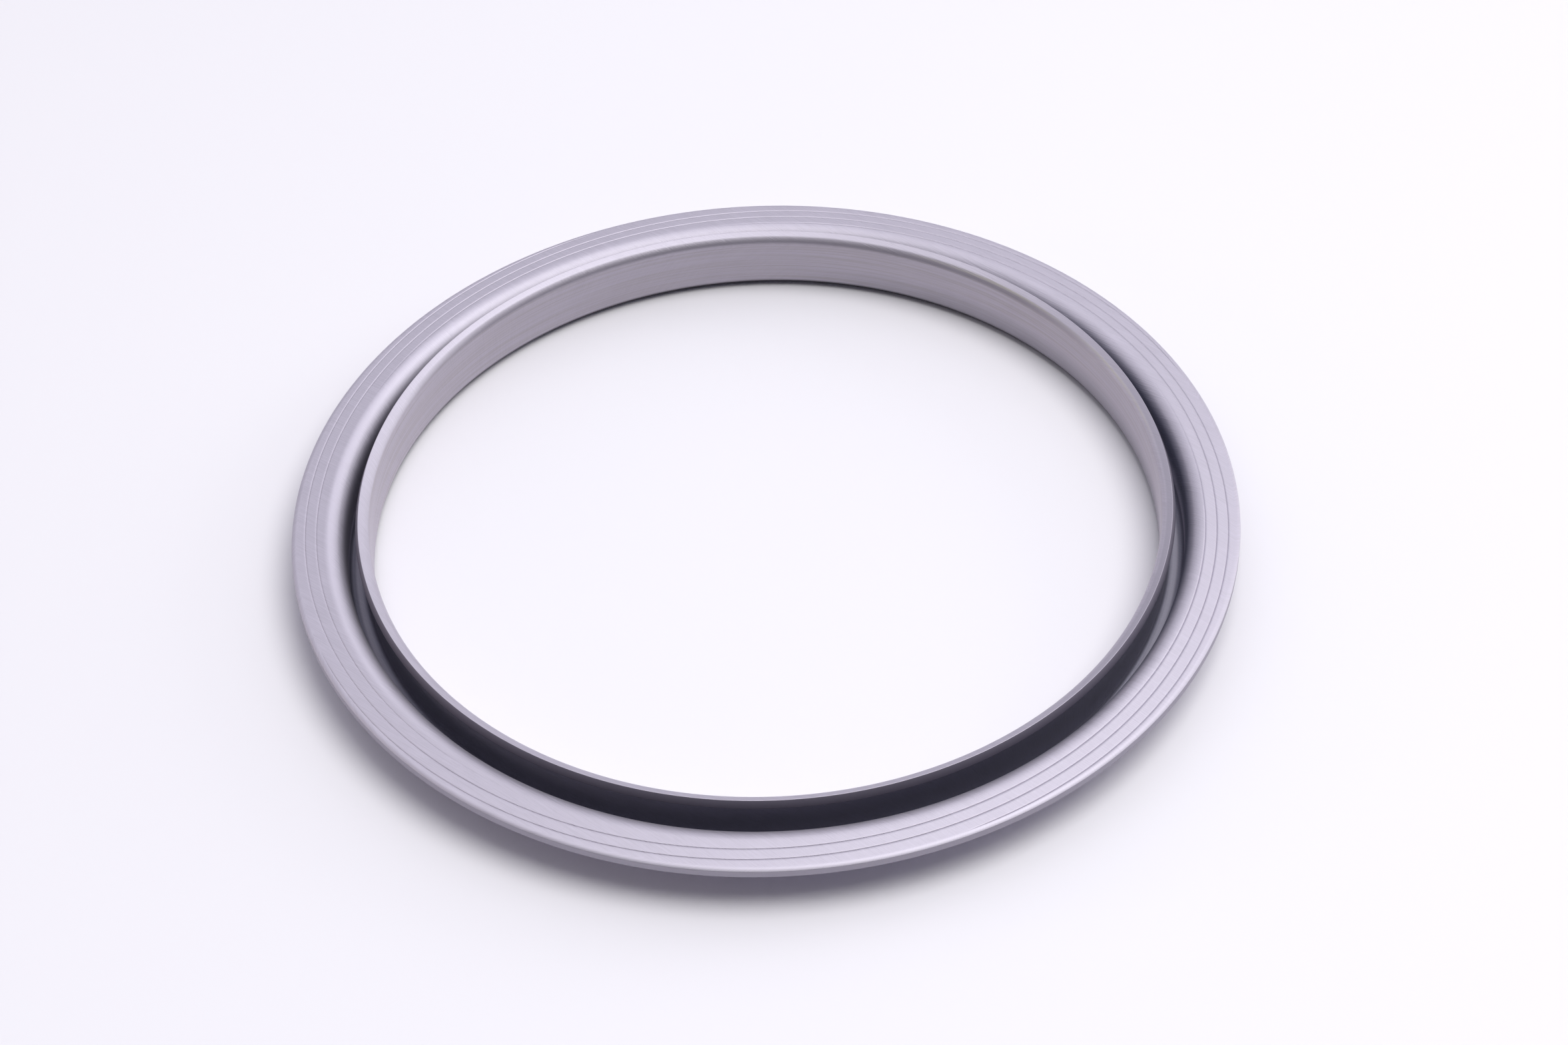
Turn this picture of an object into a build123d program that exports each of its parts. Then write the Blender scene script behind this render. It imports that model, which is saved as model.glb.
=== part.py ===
from build123d import *
import os
from math import cos, radians, sin, tan

# Radial shaft seal ring pressed from one blank of sheet metal, in millimetres.
# The origin is on the shaft axis, level with the underside of the channel, with +Z towards the lip.
# From the bore outwards the sheet runs as a flared lip, a neck, a channel and a rimmed flange.

# Across the ring
bore_diameter = 125.0       # inside the neck, where the shaft passes
ring_width = 12.5           # from the bore to the rim, measured along the radius
channel_gap = 2.6           # clear width of the channel between its two walls
sheet_thickness = 1.4

# Up the axis
neck_height = 10.3          # base to where the neck would meet the lip at a sharp corner
rim_height = 7.8            # base to the top of the flange at its rim
flange_slope = 6.6          # degrees by which the flange falls towards the rim

# Bends, as the radius on the hollow side of the sheet
channel_corner = 0.65       # at the foot of either channel wall
shoulder_corner = 1.5       # from the channel's outer wall to the flange
lip_corner = 0.2            # from the neck to the flared lip

# Lip and rim
lip_flare = 19.0            # degrees by which the lip rises outwards from level
lip_length = 1.9            # along the lip, from the sharp corner with the neck to its edge
rim_round = 0.7             # rounding of the rim's upper edge, rolled over as the blank was cut

# Spiral grooves in the top of the flange
groove_starts = 4
groove_pitch = 1.8          # from one groove to the next, along the radius
groove_depth = 0.075
groove_slope_width = 0.15   # of the groove's gentler wall, which looks inwards
groove_back_width = 0.04    # of its steep wall, which looks outwards
groove_angle = -11.6        # degrees from +X at which the first groove leaves the rim

bore_radius = bore_diameter / 2
rim_radius = bore_radius + ring_width
outer_wall_radius = bore_radius + channel_gap + 2 * sheet_thickness
shoulder_bend = shoulder_corner + sheet_thickness

flare = radians(lip_flare)
slope = radians(flange_slope)


# Corners of the sheet surface that lies this deep in the metal, counted from the bore side.
def sheet_side(depth):
    lip_edge = (
        bore_radius + lip_length * cos(flare) + depth * sin(flare),
        neck_height + lip_length * sin(flare) - depth * cos(flare),
    )
    neck_top = (bore_radius + depth, neck_height + depth * (tan(flare) - 1 / cos(flare)))
    neck_foot = (bore_radius + depth, depth)
    wall_foot = (outer_wall_radius - depth, depth)
    rim = (rim_radius, rim_height - (sheet_thickness - depth) / cos(slope))
    wall_top = (wall_foot[0], rim[1] + (rim_radius - wall_foot[0]) * tan(slope))
    return [lip_edge, neck_top, neck_foot, wall_foot, wall_top, rim]


# Half section of the ring: the sheet between its bore side and its channel side.
def ring_section():
    channel_bend = channel_corner + sheet_thickness
    lip_bend = lip_corner + sheet_thickness
    bore_side_bends = [lip_bend, channel_bend, channel_bend, shoulder_corner]
    channel_side_bends = [lip_corner, channel_corner, channel_corner, shoulder_bend]
    with BuildSketch(Plane.XZ) as sketch:
        with BuildLine():
            bore_side = FilletPolyline(*sheet_side(0), radius=bore_side_bends)
            channel_side = FilletPolyline(*sheet_side(sheet_thickness), radius=channel_side_bends)
            Line(bore_side @ 0, channel_side @ 0)
            Line(bore_side @ 1, channel_side @ 1)
        make_face()
        rim_corners = sketch.vertices().sort_by(Axis.X)[-2:]
        fillet(rim_corners.sort_by(Axis.Z)[-1], rim_round)
    return sketch.sketch


# Cutter for the first groove. It follows the flange's own cone inwards, one lead for each turn,
# from just off the rim to where the flange begins to bend down at the shoulder.
def groove_cutter():
    lead = groove_starts * groove_pitch
    outer_end = rim_radius + rim_round
    inner_end = outer_wall_radius - sheet_thickness + shoulder_bend * (1 + sin(slope))
    path = Helix(
        pitch=lead / cos(slope),
        height=(outer_end - inner_end) * tan(slope),
        radius=outer_end,
        center=(0, 0, rim_height - rim_round * tan(slope)),
        cone_angle=flange_slope - 90,
    )
    across = Plane(origin=path @ 0, x_dir=(-cos(slope), 0, sin(slope)), z_dir=path % 0)
    floor = groove_slope_width / 2
    vee = Polygon(
        (floor - 2 * groove_slope_width, groove_depth),
        (floor, -groove_depth),
        (floor + 2 * groove_back_width, groove_depth),
        align=None,
    )
    run_in = 360 * rim_round / lead
    return Rot(Z=groove_angle - run_in) * sweep(across * vee, path=path, is_frenet=True)


cutter = groove_cutter()
seal_ring = revolve(ring_section(), Axis.Z)
for start in range(groove_starts):
    seal_ring -= Rot(Z=360 * start / groove_starts) * cutter
seal_ring.label = "seal_ring"

os.makedirs("parts", exist_ok=True)
export_step(seal_ring, "parts/seal_ring.step")
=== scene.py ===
from math import cos, radians, sin, tan

import bmesh
import bpy
import numpy as np
from mathutils import Matrix, Vector


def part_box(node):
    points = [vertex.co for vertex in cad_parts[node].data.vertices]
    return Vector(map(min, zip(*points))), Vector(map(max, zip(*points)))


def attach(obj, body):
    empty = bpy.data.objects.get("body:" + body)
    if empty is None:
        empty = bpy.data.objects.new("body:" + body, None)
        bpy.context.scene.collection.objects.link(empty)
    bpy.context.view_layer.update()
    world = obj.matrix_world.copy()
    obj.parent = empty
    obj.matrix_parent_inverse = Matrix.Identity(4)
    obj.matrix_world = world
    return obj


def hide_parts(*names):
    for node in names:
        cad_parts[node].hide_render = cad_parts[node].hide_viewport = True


# A shaft seal ring pressed from one blank of satin sheet metal, lying on a white table.
# The scene is in metres. Working sizes are in millimetres and turned into metres by mm.

mm = 0.001
mergeGap = 2e-7                 # metres: mesh points nearer to each other than this become one

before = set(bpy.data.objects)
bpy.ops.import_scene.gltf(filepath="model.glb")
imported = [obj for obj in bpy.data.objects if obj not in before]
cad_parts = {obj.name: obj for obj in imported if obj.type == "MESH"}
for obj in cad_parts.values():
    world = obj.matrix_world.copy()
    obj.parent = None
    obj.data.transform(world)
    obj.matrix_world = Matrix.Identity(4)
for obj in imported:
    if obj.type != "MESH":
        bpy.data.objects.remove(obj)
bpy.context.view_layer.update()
ringNode = "seal_ring"
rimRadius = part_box(ringNode)[1].x / mm
print("frame loaded, the ring is", round(2 * rimRadius, 2), "mm across")


def linearColour(hexCode):
    # sRGB hex to linear red, green, blue and alpha
    channels = np.array([int(hexCode[i:i + 2], 16) for i in (1, 3, 5)]) / 255
    linear = np.where(channels <= 0.04045, channels / 12.92, ((channels + 0.055) / 1.055) ** 2.4)
    return (*linear.tolist(), 1.0)


def addNode(tree, kind, settings=None, links=None):
    # settings are the node's own properties or its unlinked sockets, links feed its other sockets
    node = tree.nodes.new(kind)
    for name, value in (settings or {}).items():
        if isinstance(name, str) and hasattr(node, name):
            setattr(node, name, value)
        else:
            node.inputs[name].default_value = value
    for name, source in (links or {}).items():
        tree.links.new(source, node.inputs[name])
    return node


def newTree(name):
    material = bpy.data.materials.new(name)
    material.use_nodes = True
    material.node_tree.nodes.clear()
    return material, material.node_tree


# The pressed ring, in mm. A bend's radius is that of its hollow side, and its other side is a
# sheet's thickness more.
ringSize = {
    "boreRadius": 62.5,
    "channelGap": 2.6,
    "sheet": 1.4,
    "neckHeight": 10.2,         # to the sharp corner that the lip's bend rounds off
    "rimHeight": 7.8,
    "flangeSlope": 6.6,         # degrees
    "channelCorner": 0.65,
    "shoulderCorner": 1.5,
    "lipCorner": 0.2,
    "lipFlare": 22.0,           # degrees above level
    "lipLength": 1.9,
    "rimRoll": 40.0,            # degrees: the blank's cutting rolled the rim's top edge down
    "rimRollWidth": 0.337,
    "rimRollRadius": 1.3,
    "rimEdge": 0.1,
    "edgeRound": 0.07,          # the sheared edges are barely broken
    "bendSteps": (3, 16, 9, 7, 7, 4, 3, 3, 10, 9, 9, 8, 2),  # faces across each bend, rim first
    "guard": 0.06,              # extra points this far inside a straight stretch keep it flat
    "longStretch": 0.36,        # a shorter one has none
}

# Fine spiral grooves turned into the flange, in mm
grooveSize = {
    "starts": 4,
    "pitch": 1.8,
    "depth": 0.07,
    "uneven": 0.4,              # the tool bit this share deeper on one side and less on the other
    "deepSide": 30.0,           # degrees from +X
    "slopeWidth": 0.13,         # the gentler wall, which looks inwards
    "backWidth": 0.035,         # the steep wall, which looks outwards
    "angle": -11.6,             # degrees from +X where the first one leaves the rim
    "overrun": 0.3,             # each ends this far past the start of the shoulder's bend,
    "deepOverrun": 0.55,        # this much further on the deep side and as much less on the other,
    "runOut": 0.6,              # fades over this length before its end
    "rimClear": 0.08,           # and is full this far inside the rim's roll
    "least": 0.001,             # a shallower cut leaves the flange smooth
    "columns": (0.0, 0.065, 0.1, 0.3, 0.7, 1.1, 1.5, 1.735),  # of points, inwards of each line
    "quarterRows": 150,         # rows of faces in a quarter turn
}


def bendArc(before, corner, after, radius, steps):
    # arc that touches both legs of a corner, leaving each at radius times tan(turn / 2) from it
    inLeg = (corner - before) / np.linalg.norm(corner - before)
    outLeg = (after - corner) / np.linalg.norm(after - corner)
    turn = np.arctan2(inLeg[0] * outLeg[1] - inLeg[1] * outLeg[0], inLeg @ outLeg)
    start = corner - inLeg * radius * tan(abs(turn) / 2)
    centre = start + radius * np.sign(turn) * np.array([-inLeg[1], inLeg[0]])
    angles = np.arctan2(start[1] - centre[1], start[0] - centre[0]) + np.linspace(0, turn, steps + 1)
    return centre + radius * np.stack([np.cos(angles), np.sin(angles)], 1)


def sheetCorners(depth):
    # corners of the sheet surface this deep in the metal, counted from the bore side, rim to lip
    size, flare, slope = ringSize, radians(ringSize["lipFlare"]), radians(ringSize["flangeSlope"])
    wall = size["boreRadius"] + size["channelGap"] + 2 * size["sheet"] - depth
    neck = size["boreRadius"] + depth
    rimHeight = size["rimHeight"] - (size["sheet"] - depth) / cos(slope)
    return np.array([
        (rimRadius, rimHeight),
        (wall, rimHeight + (rimRadius - wall) * tan(slope)),
        (wall, depth),
        (neck, depth),
        (neck, size["neckHeight"] + depth * (tan(flare) - 1 / cos(flare))),
        (size["boreRadius"] + size["lipLength"] * cos(flare) + depth * sin(flare),
         size["neckHeight"] + size["lipLength"] * sin(flare) - depth * cos(flare)),
    ])


def ringSection():
    # closed outline as a list of arcs: the rim's edge and its roll, the shoulder, down into the
    # channel, up to the lip, round it and back under the sheet to the rim
    size = ringSize
    top, under = sheetCorners(size["sheet"]), sheetCorners(0.0)
    rollTop = size["rimHeight"] + size["rimRollWidth"] * tan(radians(size["flangeSlope"]))
    roll = [(rimRadius, rollTop - size["rimRollWidth"] * tan(radians(size["rimRoll"]))),
            (rimRadius - size["rimRollWidth"], rollTop)]
    corners = np.concatenate([roll, top[1:], under[::-1]])
    radii = [size["rimEdge"], size["rimRollRadius"],
             size["shoulderCorner"] + size["sheet"], size["channelCorner"],
             size["channelCorner"], size["lipCorner"], size["edgeRound"],
             size["edgeRound"], size["lipCorner"] + size["sheet"],
             size["channelCorner"] + size["sheet"], size["channelCorner"] + size["sheet"],
             size["shoulderCorner"], size["edgeRound"]]
    before, after = np.roll(corners, 1, axis=0), np.roll(corners, -1, axis=0)
    return [bendArc(*bend) for bend in zip(before, corners, after, radii, size["bendSteps"])]


def plainOutline(arcs):
    # arcs joined by their straight stretches, of which a long one has a point just inside each end
    points = [arcs[0]]
    for arc, following in zip(arcs, arcs[1:]):
        gap = following[0] - arc[-1]
        inset = gap / np.linalg.norm(gap) * ringSize["guard"]
        if np.linalg.norm(gap) > ringSize["longStretch"]:
            points += [arc[-1:] + inset, following[:1] - inset]
        points.append(following)
    return np.concatenate(points)


def grooveRelief(distance):
    # a lopsided vee, deepest where its two walls meet. Distance is inwards of the line, which runs
    # down the middle of the wider wall
    size = grooveSize
    slope = (distance + size["slopeWidth"] / 2) / size["slopeWidth"]
    back = (size["slopeWidth"] / 2 + size["backWidth"] - distance) / size["backWidth"]
    return size["depth"] * np.clip(np.minimum(slope, back), 0, 1)


def flangeSurface(travel, bendStart, slope, bendRadius, flangeStart):
    # travel runs up the flange's cone from the end of the rim's roll and on round the shoulder's
    # bend. On the bend, sine times radius goes on along the cone and radius less cosine times
    # radius falls away from it
    inwards = np.array([-cos(slope), sin(slope)])
    normal = np.array([sin(slope), cos(slope)])
    bendAngle = np.clip((travel - bendStart) / bendRadius, 0, None)
    onCone = np.minimum(travel, bendStart) + bendRadius * np.sin(bendAngle)
    fall = bendRadius * (1 - np.cos(bendAngle))
    return flangeStart + onCone[..., None] * inwards - fall[..., None] * normal


def cutGrooves(section, turn, angle, pitch, bendStart, slope, flangeStart):
    # lowers each point that lies in a groove. A groove's line lies a whole number of pitches, plus
    # turn of one, in from the end of the rim's roll. Turn is how much of a quarter has gone by
    normal = np.array([sin(slope), cos(slope)])
    onCone = (section - flangeStart) @ np.array([-cos(slope), sin(slope)])
    above = section[..., 1] > ringSize["rimHeight"]
    line = onCone / pitch - turn
    relief = grooveRelief((line - np.round(line)) * pitch)
    deepness = np.cos(angle - radians(grooveSize["deepSide"]))
    left = bendStart + grooveSize["overrun"] + grooveSize["deepOverrun"] * deepness - onCone
    relief = relief * np.clip(left / grooveSize["runOut"], 0, 1)
    relief = relief * np.clip(onCone / grooveSize["rimClear"], 0, 1)
    relief = relief * (1 + grooveSize["uneven"] * deepness)
    cut = np.where(above, relief, 0)
    return section - cut[..., None] * normal, cut > grooveSize["least"]


def buildRing():
    # The section is carried round the axis, a row of points for each angle. The flange's columns
    # follow the grooves: through each quarter turn they slide inwards by one pitch, held between
    # the rim and the shoulder, and the next quarter begins with the columns that this one ends on.
    slope = radians(ringSize["flangeSlope"])
    arcs = ringSection()
    bendRadius = ringSize["shoulderCorner"] + ringSize["sheet"]
    flangeStart, shoulder = arcs[1][-1], arcs[2]
    bendStart = np.linalg.norm(shoulder[0] - flangeStart)
    starts, rows = grooveSize["starts"], grooveSize["quarterRows"]
    pitch = grooveSize["pitch"] / cos(slope)
    columns = np.array(grooveSize["columns"]) / grooveSize["pitch"] * pitch
    turn = np.arange(rows + 1)[:, None] / rows
    span = starts * pitch
    lines = (turn[:, :, None] + np.arange(-1, starts)[None, :, None]) * pitch
    travel = np.clip(lines + columns, 0, span).reshape(rows + 1, -1)
    travel = np.concatenate([travel, np.full((rows + 1, 1), span)], 1)
    flange = flangeSurface(travel, bendStart, slope, bendRadius, flangeStart)

    # what is left of the shoulder's bend, and the rest of the outline, are the same all round
    bendLeft = np.linspace((span - bendStart) / bendRadius, radians(90 + ringSize["flangeSlope"]),
                           ringSize["bendSteps"][2] + 1)
    centre = shoulder[0] - bendRadius * np.array([sin(slope), cos(slope)])
    bend = centre + bendRadius * np.stack([np.sin(slope - bendLeft), np.cos(slope - bendLeft)], 1)
    rest = plainOutline([bend[1:]] + arcs[3:] + arcs[:2])[:-1]
    section = np.concatenate([flange, np.broadcast_to(rest, (rows + 1, *rest.shape))], 1)

    # a line comes in from the rim itself, so it is some way round by the end of the rim's roll
    quarter = 360 / starts
    rollWidth = np.linalg.norm(flangeStart - [rimRadius, ringSize["rimHeight"]])
    startAngle = radians(grooveSize["angle"] + quarter * rollWidth / pitch)
    angle = startAngle + (np.arange(starts)[:, None] + turn[:, 0][None, :]) * radians(quarter)
    angle = angle.reshape(-1, 1)
    section, grooved = cutGrooves(np.tile(section, (starts, 1, 1)), np.tile(turn, (starts, 1)),
                                  angle, pitch, bendStart, slope, flangeStart)

    # blank: how far each column lies from the blank's centre, measured along the flat sheet
    step = np.linalg.norm(np.diff(section[0], axis=0, append=section[0][:1]), axis=1)
    onWay = np.concatenate([[0], np.cumsum(step)])
    lengths = np.linalg.norm(np.diff(section, axis=1), axis=2)
    travelled = np.concatenate([np.zeros((len(angle), 1)), np.cumsum(lengths, 1)], 1)
    blank = rimRadius - np.minimum(travelled, onWay[-1] - travelled)

    points = np.stack([section[:, :, 0] * np.cos(angle), section[:, :, 0] * np.sin(angle),
                       section[:, :, 1]], 2) * mm
    flat = np.stack([blank * np.cos(angle), blank * np.sin(angle)], 2) * mm

    # a quarter's last row lies on the next one's first, so no faces join those two
    count = points.shape[1]
    column = np.arange(count)[None, :]
    row = np.delete(np.arange(len(angle) - 1), np.arange(1, starts) * (rows + 1) - 1)[:, None]
    here = row * count + column
    beside = row * count + (column + 1) % count
    faces = np.stack([here, here + count, beside + count, beside], 2).reshape(-1, 4)
    # the grooves' walls meet the flange and each other at sharp corners
    smooth = ~grooved.reshape(-1)[faces].any(1)
    return points.reshape(-1, 3), flat.reshape(-1, 2), faces, smooth


def meshPiece(name, points, faces, flat=None, smooth=None):
    mesh = bpy.data.meshes.new(name)
    mesh.from_pydata(points, [], faces.tolist())
    mesh.polygons.foreach_set("use_smooth", np.ones(len(faces), bool) if smooth is None else smooth)
    if flat is not None:
        sheetMap = mesh.uv_layers.new(name="flatSheet")
        sheetMap.data.foreach_set("uv", flat[faces.reshape(-1)].astype(np.float32).reshape(-1))
    work = bmesh.new()
    work.from_mesh(mesh)
    bmesh.ops.remove_doubles(work, verts=work.verts, dist=mergeGap)
    work.to_mesh(mesh)
    work.free()
    mesh.update()
    piece = bpy.data.objects.new(name, mesh)
    bpy.context.scene.collection.objects.link(piece)
    return piece


ringPoints, ringFlat, ringFaces, ringSmooth = buildRing()
ring = meshPiece("pressedRing", ringPoints, ringFaces, ringFlat, ringSmooth)
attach(ring, "root")
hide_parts(ringNode)
print("ring built,", len(ring.data.polygons), "faces")


# Satin rolled steel sheet. Rolling leaves fine hairlines that all run one way in the blank,
# so highlights break up into short streaks and spread across the grain.
satinSheet = {
    "colour": "#c6c2ce",
    "roughness": 0.625,
    "roughnessSpread": 0.04,
    "grainAngle": -41,          # degrees from +X
    "hairWidth": 0.16,          # mm: real hairlines are finer than a picture shows
    "hairLength": 6.0,
    "hairHeight": 0.05,
    "hairDetail": 3.0,
    "hairFineness": 0.6,
    "hairRough": (0.3, 0.7),    # the hairlines' noise where the metal is smoothest and roughest
    "hairTone": (0.38, 0.62),   # and where it is darkest and lightest
    "hairShade": 0.05,          # by this much either way
    "rubbedRim": (74.4, 74.1),  # mm from the axis: handling wore the hairlines off the rim's roll
    "rubbedDepth": 0.15,        # what is left of their depth there
    "drawnStreak": (33.0, 0.25),  # mm round the bore and up it
    "streakDetail": 2.0,
    "streakFineness": 0.65,
    # What is laid over the bare metal colour, first to last, both the metal's own tints and painted
    # light
    # and shade: its colour, its share, and where it is. A place is a measure with its value where
    # the layer is absent and its value where it is full. Reach is mm from the axis, height mm above
    # the table, across and along mm to +X and +Y, and streaks noise.
    "layers": (
        # drawing the neck through its die burnished the bore darker, in faint level streaks
        ("#c2bdc8", 1.0, (("reach", 62.75, 62.6),)),
        ("#b0a9aa", 0.5, (("reach", 62.75, 62.6), ("streaks", 0.42, 0.66))),
        # painted shade: the bore is painted darker low down on one side, where it mirrors the shaded
        # floor
        ("#a6a3ad", 1.0, (("reach", 62.75, 62.6), ("height", 5.5, 2.0), ("across", 5, 45))),
        # painted shade: a dark line at the bore's foot, where it meets the table
        ("#3a3840", 1.0, (("reach", 63.6, 63.1), ("height", 1.6, 1.0))),
        # painted shade on the inside of the lip's bend, towards the back
        ("#a7a3ae", 1.0, (("reach", 62.53, 62.65), ("reach", 63.4, 63.15), ("height", 8.9, 9.3),
                          ("along", 25, 45))),
        # painted shade: the lip's flare is painted darker on the same side as the bore
        ("#b2aeba", 1.0, (("reach", 63.2, 63.5), ("height", 9.9, 10.1), ("across", 35, 60))),
        # painted reflection: a thin yellowish line along the lip's bend, as a warm low lamp would
        # show there
        ("#c4c1b4", 0.8, (("reach", 62.9, 63.08), ("reach", 63.4, 63.2), ("height", 10.0, 10.2),
                          ("across", 25, 35), ("along", 8, 18), ("streaks", 0.38, 0.58))),
        # painted shade in the channel: on the neck, on the floor, and below the shoulder, with a
        # painted lighter strip where light reaches the floor
        ("#8b8a99", 1.0, (("reach", 63.2, 63.4), ("reach", 65.6, 65.2), ("height", 9.6, 9.4),
                          ("height", 1.7, 2.4))),
        ("#8f8e9d", 1.0, (("reach", 63.3, 63.6), ("reach", 67.2, 66.8), ("height", 2.4, 1.7))),
        ("#bab8c5", 1.0, (("reach", 64.3, 64.8), ("reach", 65.7, 65.3), ("height", 2.4, 1.7))),
        ("#8a8a9d", 1.0, (("reach", 65.2, 65.6), ("reach", 67.9, 67.5), ("height", 8.05, 6.7),
                          ("height", 3.2, 5.0), ("across", -40, 25), ("along", 60, 38))),
        # painted highlight on the shoulder's crown on one side, and painted shade at its foot
        ("#dbd7e3", 0.6, (("reach", 66.9, 67.8), ("reach", 69.9, 69.1), ("height", 7.0, 7.6),
                          ("across", -40, -60))),
        ("#908d98", 1.0, (("reach", 65.7, 66.0), ("reach", 67.1, 66.4), ("height", 2.4, 3.4),
                          ("across", -40, -60))),
    ),
}


def satinSheetMaterial():
    look = satinSheet
    material, tree = newTree("satinRolledSteel")
    place = addNode(tree, "ShaderNodeTexCoord")
    inMm = addNode(tree, "ShaderNodeVectorMath", {"operation": "SCALE", "Scale": 1 / mm},
                   {0: place.outputs["Object"]})
    parts = addNode(tree, "ShaderNodeSeparateXYZ", {}, {"Vector": inMm.outputs["Vector"]})
    level = addNode(tree, "ShaderNodeVectorMath", {"operation": "MULTIPLY", 1: (1, 1, 0)},
                    {0: inMm.outputs["Vector"]})
    reach = addNode(tree, "ShaderNodeVectorMath", {"operation": "LENGTH"},
                    {0: level.outputs["Vector"]})

    # hairlines, drawn on the flat blank
    sheetMap = addNode(tree, "ShaderNodeUVMap", {"uv_map": "flatSheet"})
    along = addNode(tree, "ShaderNodeMapping", {
        "Rotation": (0, 0, radians(-look["grainAngle"]))}, {"Vector": sheetMap.outputs["UV"]})
    stretched = addNode(tree, "ShaderNodeMapping", {
        "Scale": (1 / (look["hairLength"] * mm), 1 / (look["hairWidth"] * mm), 1)},
        {"Vector": along.outputs["Vector"]})
    hair = addNode(tree, "ShaderNodeTexNoise", {
        "Scale": 1.0, "Detail": look["hairDetail"], "Roughness": look["hairFineness"]},
        {"Vector": stretched.outputs["Vector"]})
    smoothed, untouched = look["rubbedRim"]
    hairDepth = addNode(tree, "ShaderNodeMapRange", {
        "From Min": smoothed, "From Max": untouched, "To Min": look["rubbedDepth"]},
        {"Value": reach.outputs["Value"]})
    bump = addNode(tree, "ShaderNodeBump", {"Distance": look["hairHeight"] * mm}, {
        "Strength": hairDepth.outputs["Result"], "Height": hair.outputs["Fac"]})
    rough = addNode(tree, "ShaderNodeMapRange", {
        "From Min": look["hairRough"][0], "From Max": look["hairRough"][1],
        "To Min": look["roughness"] - look["roughnessSpread"],
        "To Max": look["roughness"] + look["roughnessSpread"]}, {"Value": hair.outputs["Fac"]})
    shade = addNode(tree, "ShaderNodeMapRange", {
        "From Min": look["hairTone"][0], "From Max": look["hairTone"][1],
        "To Min": 1.0 - look["hairShade"],
        "To Max": 1.0 + look["hairShade"]}, {"Value": hair.outputs["Fac"]})
    bare = addNode(tree, "ShaderNodeVectorMath", {
        "operation": "SCALE", 0: linearColour(look["colour"])[:3]},
        {"Scale": shade.outputs["Result"]})

    # faint streaks round the neck
    streakLength, streakHeight = look["drawnStreak"]
    ringed = addNode(tree, "ShaderNodeVectorMath", {
        "operation": "DIVIDE", 1: (streakLength, streakLength, streakHeight)},
        {0: inMm.outputs["Vector"]})
    streaks = addNode(tree, "ShaderNodeTexNoise", {
        "Scale": 1.0, "Detail": look["streakDetail"], "Roughness": look["streakFineness"]},
        {"Vector": ringed.outputs["Vector"]})
    measures = {"reach": reach.outputs["Value"], "height": parts.outputs["Z"],
                "across": parts.outputs["X"], "along": parts.outputs["Y"],
                "streaks": streaks.outputs["Fac"]}

    # each layer is mixed over what is there, by its share times how far each measure is within it
    colour = bare.outputs["Vector"]
    for layerColour, share, places in look["layers"]:
        factor = None
        for measure, absent, full in places:
            here = addNode(tree, "ShaderNodeMapRange", {
                "From Min": absent, "From Max": full, "To Max": 1.0 if factor else share},
                {"Value": measures[measure]}).outputs["Result"]
            factor = here if factor is None else addNode(
                tree, "ShaderNodeMath", {"operation": "MULTIPLY"},
                {0: factor, 1: here}).outputs["Value"]
        colour = addNode(tree, "ShaderNodeMix", {
            "data_type": "RGBA", 7: linearColour(layerColour)},
            {"Factor": factor, 6: colour}).outputs[2]

    shader = addNode(tree, "ShaderNodeBsdfPrincipled", {"Metallic": 1.0}, {
        "Base Color": colour, "Roughness": rough.outputs["Result"],
        "Normal": bump.outputs["Normal"]})
    addNode(tree, "ShaderNodeOutputMaterial", {}, {"Surface": shader.outputs["BSDF"]})
    return material


# Sheared edges of the same sheet: torn metal, duller than the rolled face. The lip's edge is painted
# darker than the rim's and darker still towards its lower side, as painted shade under the lip's
# flare.
shearedEdge = {
    "rimColour": "#aaa6b1",
    # the lip's two colours are painted shade, darkest at the lip edge's lower side
    "lipColour": "#85818d",
    "lipShadeColour": "#5a5763",
    "lipHeights": (10.9, 9.6),  # mm, top and bottom of the lip's edge
    "lipFrom": 9.0,             # mm: what is higher is the lip's edge, and the rest the rim's
    "roughness": 0.6,
    "dragHeight": 0.01,         # mm: the shears dragged the metal into fine grit
    "dragWidth": 0.12,
    "dragDetail": 2.0,
    "rimDepth": 0.1,            # mm in from the rim that may be sheared
    "rimFacing": 0.9,           # cosine to outwards that a sheared face has at least
    "lipFacing": 0.35,
}


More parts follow.
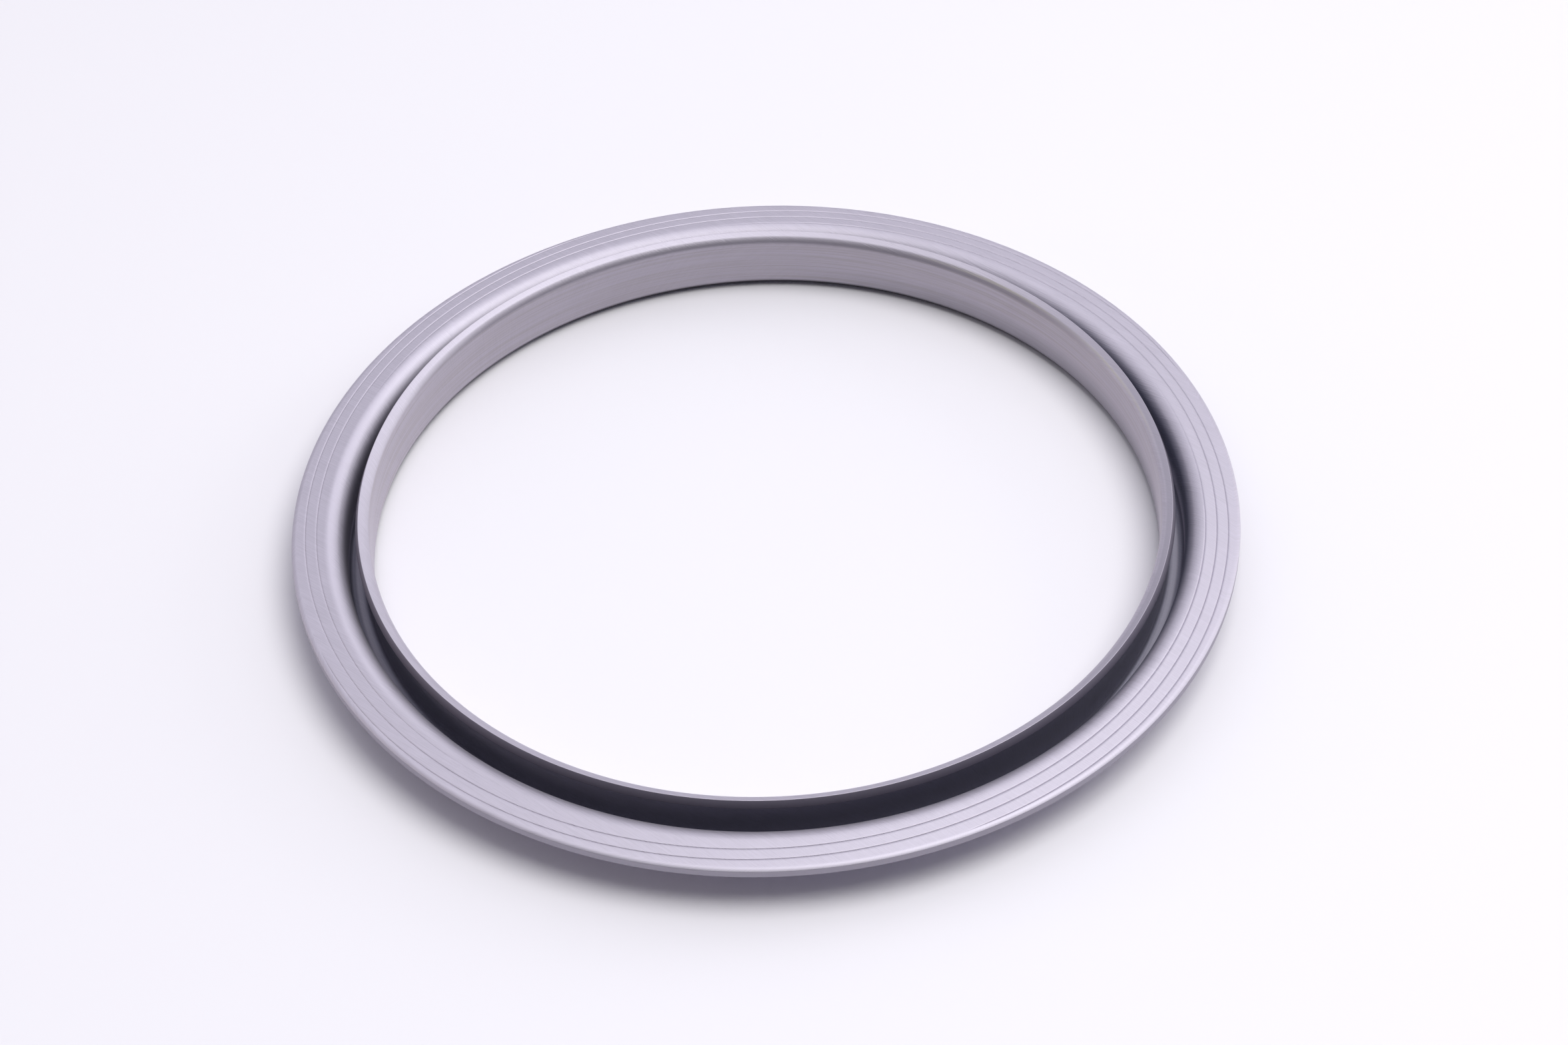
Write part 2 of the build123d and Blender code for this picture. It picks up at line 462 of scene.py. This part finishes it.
def shearedEdgeMaterial():
    look = shearedEdge
    material, tree = newTree("shearedSteelEdge")
    place = addNode(tree, "ShaderNodeTexCoord")
    scaled = addNode(tree, "ShaderNodeVectorMath", {
        "operation": "SCALE", "Scale": 1 / (look["dragWidth"] * mm)}, {0: place.outputs["Object"]})
    drag = addNode(tree, "ShaderNodeTexNoise", {"Scale": 1.0, "Detail": look["dragDetail"]},
                   {"Vector": scaled.outputs["Vector"]})
    bump = addNode(tree, "ShaderNodeBump", {
        "Strength": 1.0, "Distance": look["dragHeight"] * mm}, {"Height": drag.outputs["Fac"]})
    height = addNode(tree, "ShaderNodeSeparateXYZ", {}, {"Vector": place.outputs["Object"]})
    # painted shade: the lip's edge darkens from its top down to its lower side
    lipShadeFall = addNode(tree, "ShaderNodeMapRange", {
        "From Min": look["lipHeights"][0] * mm, "From Max": look["lipHeights"][1] * mm},
        {"Value": height.outputs["Z"]})
    lipColour = addNode(tree, "ShaderNodeMix", {
        "data_type": "RGBA", 6: linearColour(look["lipColour"]),
        7: linearColour(look["lipShadeColour"])}, {"Factor": lipShadeFall.outputs["Result"]})
    onLip = addNode(tree, "ShaderNodeMath", {"operation": "GREATER_THAN", 1: look["lipFrom"] * mm},
                    {0: height.outputs["Z"]})
    colour = addNode(tree, "ShaderNodeMix", {
        "data_type": "RGBA", 6: linearColour(look["rimColour"])},
        {"Factor": onLip.outputs["Value"], 7: lipColour.outputs[2]})
    shader = addNode(tree, "ShaderNodeBsdfPrincipled", {
        "Metallic": 1.0, "Roughness": look["roughness"]},
        {"Base Color": colour.outputs[2], "Normal": bump.outputs["Normal"]})
    addNode(tree, "ShaderNodeOutputMaterial", {}, {"Surface": shader.outputs["BSDF"]})
    return material


def markShearedFaces(piece):
    # faces at the rim's edge that look straight outwards, and the lip's end with its rounded
    # corners, which take the lip edge's painted shade
    size, look = ringSize, shearedEdge
    mesh = piece.data
    normals = np.zeros(len(mesh.polygons) * 3)
    mesh.polygons.foreach_get("normal", normals)
    centres = np.array([face.center for face in mesh.polygons]) / mm
    normals = normals.reshape(-1, 3)
    reach = np.hypot(centres[:, 0], centres[:, 1])
    outwards = (normals[:, :2] * centres[:, :2]).sum(1) / reach
    lipReach = size["boreRadius"] + size["lipLength"] * cos(radians(size["lipFlare"]))
    atLip = (centres[:, 2] > size["neckHeight"] - size["sheet"]) & (reach > lipReach)
    atRim = reach > rimRadius - look["rimDepth"]
    sheared = (atLip & (outwards > look["lipFacing"])) | (atRim & (outwards > look["rimFacing"]))
    mesh.polygons.foreach_set("material_index", sheared.astype(int))


ring.data.materials.append(satinSheetMaterial())
ring.data.materials.append(shearedEdgeMaterial())
markShearedFaces(ring)
print("sheet finish made")


# White table top of matt laminate: smooth, and too dull to mirror the ring
table = {
    "colour": "#ebeaf0",
    "roughness": 0.7,
    "radius": 3.0,              # metres
    "sides": 96,
}

# A pale room, dark behind the onlooker, with three lamps
studio = {
    "skyColour": "#f6f4ff",
    "skyStrength": 0.75,
    "horizonShare": 0.305,      # the sky is this much of its strength at the horizon
    "horizonTop": 0.35,         # sine of the height where it has all of it
    "darkSide": (0.0, -0.996, 0.089),   # the room is dark where the onlooker stands
    "darkLevel": 0.10,
    "darkFrom": 0.223,          # cosine to the dark side where the fall begins, and where it ends
    "darkTo": 0.357,
    "glowSide": (0.231, 0.168, 0.958),  # the ceiling glows round the softbox
    "glowLevel": 0.316,
    "glowFrom": 0.454,          # cosine to its middle where it begins
    "lampDistance": 1.2,        # metres
    # disc lamps: direction from the ring, degrees from centre to edge, radiance, colour
    "lamps": {
        "overheadSoftbox": ((0.307, -0.068, 1.0), 21.2, 4.14, "#fffef8"),
        "windowRight": ((0.88, 0.42, 0.24), 13.0, 3.43, "#fffef8"),
        "deskLampLeft": ((-0.97, 0.05, 0.2), 6.0, 5.4, "#ffe6c4"),
    },
}


def buildTable():
    # a flat disc: radius times (cos, sin) of even angles
    sides = table["sides"]
    angles = np.linspace(0, 2 * np.pi, sides, endpoint=False)
    rim = np.stack([np.cos(angles), np.sin(angles), np.zeros(sides)], 1) * table["radius"]
    points = np.concatenate([[[0, 0, 0]], rim])
    corner = np.arange(1, sides + 1)
    faces = np.stack([np.zeros(sides, int), corner, np.roll(corner, -1)], 1)
    piece = meshPiece("whiteTable", points, faces)
    material, tree = newTree("matLaminate")
    shader = addNode(tree, "ShaderNodeBsdfPrincipled", {
        "Base Color": linearColour(table["colour"]), "Roughness": table["roughness"]})
    addNode(tree, "ShaderNodeOutputMaterial", {}, {"Surface": shader.outputs["BSDF"]})
    piece.data.materials.append(material)


def discLamp(name, towards, halfAngle, radiance, colour):
    lamp = bpy.data.lights.new(name, "AREA")
    radius = studio["lampDistance"] * tan(radians(halfAngle))
    lamp.shape = "DISK"
    lamp.size = 2 * radius
    # a disc sends out pi times its radiance from each part of its area
    lamp.energy = np.pi * radiance * np.pi * radius ** 2
    lamp.color = linearColour(colour)[:3]
    holder = bpy.data.objects.new(name, lamp)
    place = Vector(towards).normalized() * studio["lampDistance"]
    holder.location = place
    holder.rotation_euler = place.to_track_quat("Z", "Y").to_euler()
    bpy.context.scene.collection.objects.link(holder)


def buildStudio():
    # the sky's level, which falls towards the dark side, times its share at that height, plus the
    # ceiling's glow
    world = bpy.data.worlds.new("softRoom")
    bpy.context.scene.world = world
    world.use_nodes = True
    tree = world.node_tree
    tree.nodes.clear()
    direction = addNode(tree, "ShaderNodeTexCoord")
    towards = addNode(tree, "ShaderNodeVectorMath", {
        "operation": "DOT_PRODUCT", 1: studio["darkSide"]}, {0: direction.outputs["Generated"]})
    level = addNode(tree, "ShaderNodeMapRange", {
        "interpolation_type": "SMOOTHSTEP", "From Min": studio["darkFrom"],
        "From Max": studio["darkTo"], "To Min": studio["skyStrength"],
        "To Max": studio["darkLevel"]}, {"Value": towards.outputs["Value"]})
    height = addNode(tree, "ShaderNodeSeparateXYZ", {}, {"Vector": direction.outputs["Generated"]})
    horizon = addNode(tree, "ShaderNodeMapRange", {
        "From Max": studio["horizonTop"], "To Min": studio["horizonShare"]},
        {"Value": height.outputs["Z"]})
    glowing = addNode(tree, "ShaderNodeVectorMath", {
        "operation": "DOT_PRODUCT", 1: studio["glowSide"]}, {0: direction.outputs["Generated"]})
    glow = addNode(tree, "ShaderNodeMapRange", {
        "interpolation_type": "SMOOTHSTEP", "From Min": studio["glowFrom"],
        "To Max": studio["glowLevel"]}, {"Value": glowing.outputs["Value"]})
    strength = addNode(tree, "ShaderNodeMath", {"operation": "MULTIPLY_ADD"},
                       {0: level.outputs["Result"], 1: horizon.outputs["Result"],
                        2: glow.outputs["Result"]})
    sky = addNode(tree, "ShaderNodeBackground", {"Color": linearColour(studio["skyColour"])},
                  {"Strength": strength.outputs["Value"]})
    addNode(tree, "ShaderNodeOutputWorld", {}, {"Surface": sky.outputs["Background"]})
    for name, settings in studio["lamps"].items():
        discLamp(name, *settings)


buildTable()
buildStudio()
print("table and light made")


# Camera: stands in front of the ring and looks down on it
view = {
    "distance": 416.08,         # mm from the axis, level
    "height": 413.83,
    "yaw": 0.401,               # degrees to the right
    "pitch": 44.549,            # degrees down
    "roll": -2.121,
    "focal": 5500,              # in pixels of the picture
    "picture": 2353,            # pixels wide
    "sensor": 36.0,             # mm wide
    "farClip": 20,              # metres
}


def buildCamera():
    yaw, pitch, roll = (radians(view[key]) for key in ("yaw", "pitch", "roll"))
    forward = Vector((sin(yaw) * cos(pitch), cos(yaw) * cos(pitch), -sin(pitch)))
    right = Vector((cos(yaw), -sin(yaw), 0))
    up = right.cross(forward)
    rightRolled = right * cos(roll) + up * sin(roll)
    upRolled = up * cos(roll) - right * sin(roll)
    lens = bpy.data.cameras.new("camera")
    lens.sensor_width = view["sensor"]
    lens.lens = view["focal"] / view["picture"] * view["sensor"]
    lens.clip_end = view["farClip"]
    holder = bpy.data.objects.new("camera", lens)
    turned = Matrix((rightRolled, upRolled, -forward)).transposed().to_4x4()
    place = Vector((0, -view["distance"], view["height"])) * mm
    holder.matrix_world = Matrix.Translation(place) @ turned
    bpy.context.scene.collection.objects.link(holder)
    bpy.context.scene.camera = holder


buildCamera()
bpy.context.scene.view_settings.view_transform = "Standard"
print("camera placed")
